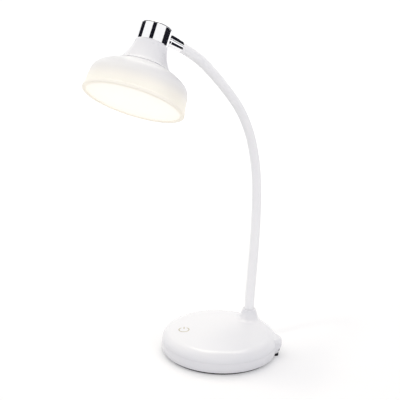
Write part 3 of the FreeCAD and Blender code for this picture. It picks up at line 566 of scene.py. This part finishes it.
# Lean from upright towards -Y, in degrees, at the collar, each hinge and the ferrule.
neck_leans = (0.0, -4.0, -2.5, 3.5, 20.0, 43.0, 51.0, 66.0)
neck_bodies = [joint["parent"] for joint in frame["joints"] if joint["name"].startswith("neck_")]
neck_bodies.append("neck_tip")


def heading(lean):
    """Direction of the neck at a lean, in degrees."""
    angle = math.radians(lean)
    return Vector((0, -math.sin(angle), math.cos(angle)))


def arc_places(known, known_lean, lean_a, lean_b, run):
    """(place, lean) along an arc that passes a known place, from one lean to another."""
    radius = run / math.radians(lean_b - lean_a)
    turn_in = Vector((0, -math.cos(math.radians(known_lean)), -math.sin(math.radians(known_lean))))
    centre = known + turn_in * radius
    count = max(2, round(run / ring_pitch))
    places = []
    for step in range(count + 1):
        lean = lean_a + (lean_b - lean_a) * step / count
        angle = math.radians(lean)
        places.append((centre + Vector((0, math.cos(angle), math.sin(angle))) * radius, lean))
    return places


def sleeve_places(index):
    """(place, lean) of the rings of one sleeve piece, which crosses one hinge."""
    hinge = hinges[index]
    lean = neck_leans[index + 1]
    half_before = (neck_leans[index] + lean) / 2
    half_after = (lean + neck_leans[index + 2]) / 2
    if index == 0:
        before = arc_places(hinge, lean, neck_leans[0], lean, root_run)
        pocket = before[0][0] - heading(neck_leans[0]) * root_depth
        before.insert(0, (pocket, neck_leans[0]))
    else:
        before = arc_places(hinge, lean, half_before, lean, link_run / 2)
    if index == len(hinges) - 1:
        after = arc_places(hinge, lean, lean, neck_leans[-1], tip_run)
        after.append((after[-1][0] + heading(neck_leans[-1]) * tip_depth, neck_leans[-1]))
    else:
        after = arc_places(hinge, lean, lean, half_after, link_run / 2)
    return before + after[1:]


def sleeve_mesh(places):
    """Closed thin-walled tube through rings square to the neck."""
    tube = bmesh.new()
    across = Vector((1, 0, 0))
    walls = []
    for radius in (sleeve_radius, sleeve_radius - sleeve_skin):
        rings = []
        for place, lean in places:
            side = heading(lean).cross(across)
            ring = []
            for i in range(sleeve_sides):
                angle = 2 * math.pi * i / sleeve_sides
                ray = across * math.cos(angle) + side * math.sin(angle)
                ring.append(tube.verts.new(place + ray * radius))
            rings.append(ring)
        walls.append(rings)
    outer, inner = walls
    for i in range(sleeve_sides):
        j = (i + 1) % sleeve_sides
        for low, high in zip(outer[:-1], outer[1:]):
            tube.faces.new((low[i], low[j], high[j], high[i])).smooth = True
        for low, high in zip(inner[:-1], inner[1:]):
            tube.faces.new((low[j], low[i], high[i], high[j])).smooth = True
        tube.faces.new((inner[0][i], inner[0][j], outer[0][j], outer[0][i]))
        tube.faces.new((outer[-1][i], outer[-1][j], inner[-1][j], inner[-1][i]))
    for edge in tube.edges:
        if len(edge.link_faces) == 2 and edge.link_faces[0].smooth != edge.link_faces[1].smooth:
            edge.smooth = False
    mesh = bpy.data.meshes.new("sleeve")
    tube.normal_update()
    tube.to_mesh(mesh)
    tube.free()
    return mesh


def new_piece(name, mesh, finish):
    """A mesh object with one finish, linked into the scene."""
    piece = bpy.data.objects.new(name, mesh)
    mesh.materials.append(finish)
    bpy.context.scene.collection.objects.link(piece)
    return piece


def make_sleeve():
    """Six lengths of one sleeve, each bending smoothly across one hinge, joined at mid-link."""
    for index, hinge in enumerate(hinges):
        mesh = sleeve_mesh(sleeve_places(index))
        piece = new_piece("sleeve_bend_%d" % (index + 1), mesh, finishes["sleeve"])
        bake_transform(piece)
        stands_for = ["neck_sleeve_%d" % index]
        if index == len(hinges) - 1:
            stands_for.append("neck_sleeve_%d" % (index + 1))
        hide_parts(*stands_for)


make_sleeve()


# ---------------------------------------------------------------- touch mark
mark_azimuth = math.radians(230.0)      # in front and to the left
mark_set_in = 0.0225                    # inside the base's side
mark_radius = 0.0052                    # middle of the ring's line
mark_line = 0.0011
mark_up = math.radians(134.0)           # azimuth of the mark's top
mark_gap = math.radians(62.0)           # opening at the ring's top
mark_bar = (0.0018, 0.0066)             # bar's start and end from the ring's middle
mark_thickness = 0.00006
mark_sink = 0.00002                     # ink set into the skin
mark_ring_steps = 60
mark_bar_steps = 8
feeler_height = 0.2                     # rays drop from here to find the dome's top


def on_dome(x, y):
    """Height of the base's top under a point."""
    shell = frame["nodes"]["base_top_shell"]
    found, place, _, _ = shell.ray_cast(Vector((x, y, feeler_height)), Vector((0, 0, -1)))
    return place.z if found else highest("base_top_shell").z


def strip_on_dome(ink, rows):
    """Thin raised strip of ink from (left, right) points, following the dome."""
    layers = []
    for lift in (-mark_sink, mark_thickness):
        layers.append([[ink.verts.new((x, y, on_dome(x, y) + lift)) for x, y in row] for row in rows])
    under, over = layers
    for k in range(len(rows) - 1):
        ink.faces.new((over[k][0], over[k][1], over[k + 1][1], over[k + 1][0]))
        ink.faces.new((under[k][1], under[k][0], under[k + 1][0], under[k + 1][1]))
        for side in (0, 1):
            ink.faces.new((under[k][side], over[k][side], over[k + 1][side], under[k + 1][side]))
    for k in (0, -1):
        ink.faces.new((under[k][0], under[k][1], over[k][1], over[k][0]))


def make_touch_mark():
    """Generic power sign: a ring open at its top with a bar through the opening."""
    reach = highest("base_bottom_shell").x - mark_set_in
    centre = Vector((reach * math.cos(mark_azimuth), reach * math.sin(mark_azimuth)))
    ink = bmesh.new()
    rows = []
    for k in range(mark_ring_steps + 1):
        angle = mark_up + mark_gap / 2 + (2 * math.pi - mark_gap) * k / mark_ring_steps
        ray = Vector((math.cos(angle), math.sin(angle)))
        rows.append([centre + ray * (mark_radius + edge * mark_line / 2) for edge in (-1, 1)])
    strip_on_dome(ink, rows)
    along = Vector((math.cos(mark_up), math.sin(mark_up)))
    side = Vector((-along.y, along.x)) * mark_line / 2
    rows = []
    for k in range(mark_bar_steps + 1):
        place = centre + along * (mark_bar[0] + (mark_bar[1] - mark_bar[0]) * k / mark_bar_steps)
        rows.append([place - side, place + side])
    strip_on_dome(ink, rows)
    bmesh.ops.recalc_face_normals(ink, faces=ink.faces)
    mesh = bpy.data.meshes.new("touch_mark")
    ink.to_mesh(mesh)
    ink.free()
    mark = new_piece("touch_mark", mesh, touch_print())
    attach(mark, "base")


make_touch_mark()


# ---------------------------------------------------------------- floor, backdrop and lamps
floor_size = 8.0
floor_height = -0.00005             # a hair under the pad, so that the two don't share one plane
lift_near = 0.240                   # keeps the pale floor white where no shadow falls
lift_far = 0.62                     # and where the lamps don't reach
lift_span = (0.25, 1.2)             # distances from the origin for the two
paper_tones = ((0.72, 0.72, 0.73, 1), (0.71, 0.71, 0.72, 1))
paper_scale = 35.0


def pale_floor():
    """White paper, lifted where the eye or a reflection meets it."""
    material = bpy.data.materials.new("pale_floor")
    material.use_nodes = True
    tree = material.node_tree
    tree.nodes.clear()
    output = tree.nodes.new("ShaderNodeOutputMaterial")
    place = tree.nodes.new("ShaderNodeTexCoord").outputs["Object"]
    fibres = noise(tree, place, paper_scale, detail=3.0).outputs["Fac"]
    paper = tree.nodes.new("ShaderNodeBsdfDiffuse")
    join(tree, blend_colours(tree, fibres, *paper_tones), paper.inputs["Color"])
    reach = tree.nodes.new("ShaderNodeVectorMath")
    reach.operation = "LENGTH"
    join(tree, place, reach.inputs[0])
    lifted = spread(tree, reach.outputs["Value"], *lift_span, lift_near, lift_far)
    lift = tree.nodes.new("ShaderNodeEmission")
    lift.inputs["Color"].default_value = (1, 1, 1, 1)
    path = tree.nodes.new("ShaderNodeLightPath")
    seen = maths(tree, "MAXIMUM", path.outputs["Is Camera Ray"], path.outputs["Is Glossy Ray"])
    join(tree, maths(tree, "MULTIPLY", seen, lifted), lift.inputs["Strength"])
    both = tree.nodes.new("ShaderNodeAddShader")
    join(tree, paper.outputs["BSDF"], both.inputs[0])
    join(tree, lift.outputs["Emission"], both.inputs[1])
    join(tree, both.outputs["Shader"], output.inputs["Surface"])
    return material


def make_floor():
    mesh = bpy.data.meshes.new("floor")
    half = floor_size / 2
    square = ((-half, -half), (half, -half), (half, half), (-half, half))
    corners = [(x, y, floor_height) for x, y in square]
    mesh.from_pydata(corners, [], [(0, 1, 2, 3)])
    floor = new_piece("floor", mesh, pale_floor())


sky_low = 0.95                      # soft light from the horizon
sky_high = 0.47                     # and from straight above
sky_colour = (0.95, 0.945, 1.0, 1)


def white_surroundings():
    """White to the eye and in reflections, and a soft cool light for everything else."""
    world = bpy.data.worlds.new("surroundings")
    world.use_nodes = True
    tree = world.node_tree
    tree.nodes.clear()
    output = tree.nodes.new("ShaderNodeOutputWorld")
    white = tree.nodes.new("ShaderNodeBackground")
    white.inputs["Color"].default_value = (1, 1, 1, 1)
    soft = tree.nodes.new("ShaderNodeBackground")
    soft.inputs["Color"].default_value = sky_colour
    upward = tree.nodes.new("ShaderNodeSeparateXYZ")
    direction = tree.nodes.new("ShaderNodeTexCoord").outputs["Generated"]
    join(tree, direction, upward.inputs["Vector"])
    join(tree, spread(tree, upward.outputs["Z"], 0.0, 1.0, sky_low, sky_high), soft.inputs["Strength"])
    path = tree.nodes.new("ShaderNodeLightPath")
    seen = maths(tree, "MAXIMUM", path.outputs["Is Camera Ray"], path.outputs["Is Glossy Ray"])
    seen = maths(tree, "MAXIMUM", seen, path.outputs["Is Transmission Ray"])
    mix = tree.nodes.new("ShaderNodeMixShader")
    join(tree, seen, mix.inputs["Fac"])
    join(tree, soft.outputs["Background"], mix.inputs[1])
    join(tree, white.outputs["Background"], mix.inputs[2])
    join(tree, mix.outputs["Shader"], output.inputs["Surface"])
    bpy.context.scene.world = world


lamp_distance = 1.7                 # from each studio lamp to its aim
mid_lamp = Vector((0, 0, 0.12))
head_middle = Vector((0, -0.10, 0.325))


def soft_lamp(name, place, aim, size, watts, colour):
    """Square area lamp that the camera doesn't see."""
    light = bpy.data.lights.new(name, "AREA")
    light.shape = "SQUARE"
    light.size = size
    light.energy = watts
    light.color = colour
    lamp = bpy.data.objects.new(name, light)
    lamp.location = place
    lamp.rotation_euler = (place - aim).to_track_quat("Z", "Y").to_euler()
    lamp.visible_camera = False
    bpy.context.scene.collection.objects.link(lamp)
    return lamp


def studio_lamp(name, azimuth, height, size, watts, colour, aim=mid_lamp, mirrored=False):
    """Soft lamp in a direction from its aim, in degrees; the gloss shows it only if mirrored."""
    turn = math.radians(azimuth)
    rise = math.radians(height)
    way = Vector((math.cos(turn) * math.cos(rise), math.sin(turn) * math.cos(rise), math.sin(rise)))
    lamp = soft_lamp(name, aim + way * lamp_distance, aim, size, watts, colour)
    lamp.visible_glossy = mirrored


card_mottle_scale = 12.0
card_steps = 16


def black_card_finish():
    """Matt black paper with a faint mottle."""
    material, shader = new_material("card_black")
    place = material.node_tree.nodes.new("ShaderNodeTexCoord").outputs["Object"]
    mottle = noise(material.node_tree, place, card_mottle_scale, detail=2.0).outputs["Fac"]
    shade = blend_colours(material.node_tree, mottle, (0.010, 0.010, 0.016, 1), (0.014, 0.014, 0.022, 1))
    join(material.node_tree, shade, shader.inputs["Base Color"])
    shader.inputs["Roughness"].default_value = 1.0
    shader.inputs["Specular IOR Level"].default_value = 0.0
    return material


card_black = black_card_finish()


def mirror_card(name, node, axis, span, tilt, distance):
    """Black studio card that a round metal part mirrors as a dark stripe.

    The span is the stripe's two edges across the part, from -1 at its left to 1 at its right.
    The tilt is how far the surface's normal leans along the axis, in degrees, at the stripe's two ends.
    """
    place = middle(node)
    camera_place = bpy.context.scene.camera.matrix_world
    towards = (camera_place.translation - place).normalized()
    front = (towards - axis * towards.dot(axis)).normalized()
    right = axis.cross(front)
    if right.dot(camera_place.col[0].to_3d()) < 0:
        right = -right
    first, last = (math.asin(edge) for edge in span)
    vertices = []
    for i in range(card_steps + 1):
        turn = first + (last - first) * i / card_steps
        outward = front * math.cos(turn) + right * math.sin(turn)
        for degrees in tilt:
            lean = math.radians(degrees)
            face = outward * math.cos(lean) + axis * math.sin(lean)
            vertices.append(place + (face * 2 * face.dot(towards) - towards) * distance)
    faces = [(2 * i, 2 * i + 1, 2 * i + 3, 2 * i + 2) for i in range(card_steps)]
    mesh = bpy.data.meshes.new(name)
    mesh.from_pydata(vertices, [], faces)
    card = new_piece(name, mesh, card_black)
    card.visible_camera = False
    card.visible_diffuse = False
    card.visible_transmission = False
    card.visible_shadow = False


cap_stripes = ((-0.90, -0.70), (-0.26, -0.03), (0.54, 0.88))
ferrule_stripes = ((-0.26, 0.10), (0.55, 0.95))
cap_edge_stripe = (-0.80, 0.97)     # thin line along the cap's rounded top edge


def make_cards():
    for i, span in enumerate(cap_stripes):
        mirror_card("cap_card_%d" % (i + 1), "cap", head_axis, span, tilt=(-2, 2), distance=0.55)
    ferrule_axis = heading(neck_leans[-1])
    for i, span in enumerate(ferrule_stripes):
        name = "ferrule_card_%d" % (i + 1)
        mirror_card(name, "neck_ferrule", ferrule_axis, span, tilt=(-4, 4), distance=0.2)
    mirror_card("cap_edge_card", "cap", head_axis, cap_edge_stripe, tilt=(8, 33), distance=0.15)


def light_studio():
    """Six soft lamps round the lamp and above it."""
    studio_lamp("right_lamp", azimuth=359, height=40, size=0.9, watts=3.3, colour=(1.0, 0.965, 0.84))
    studio_lamp("back_lamp", azimuth=134, height=62, size=1.0, watts=8.2, colour=(1.0, 0.96, 0.83),
                mirrored=True)
    studio_lamp("back_right_lamp", azimuth=87, height=66, size=0.45, watts=1.3, colour=(1.0, 0.97, 0.9),
                mirrored=True)
    studio_lamp("left_lamp", azimuth=179, height=40, size=0.9, watts=3.3, colour=(1.0, 1.0, 0.93))
    studio_lamp("front_lamp", azimuth=314, height=40, size=0.9, watts=1.9, colour=(0.86, 0.91, 1.0))
    # This one throws the head's shadow over the back of the base and on to the floor behind it.
    studio_lamp("shadow_lamp", azimuth=249, height=60, size=0.2, watts=4.2, colour=(1.0, 0.94, 0.75),
                aim=head_middle)


glow_drop = 0.002                   # the lamp's own light starts just under its disc
glow_width = 0.05


def light_head():
    """The lamp's own light on what stands under its head."""
    lamp = soft_lamp("glow_lamp", mouth_middle - head_axis * glow_drop, mouth_middle - head_axis,
                     size=glow_width, watts=0.015, colour=(1.0, 0.85, 0.55))
    lamp.data.shape = "DISK"
    lamp.visible_glossy = False
    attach(lamp, "head")


make_floor()
white_surroundings()
make_cards()
light_studio()
light_head()


bpy.context.scene.view_settings.view_transform = "Standard"
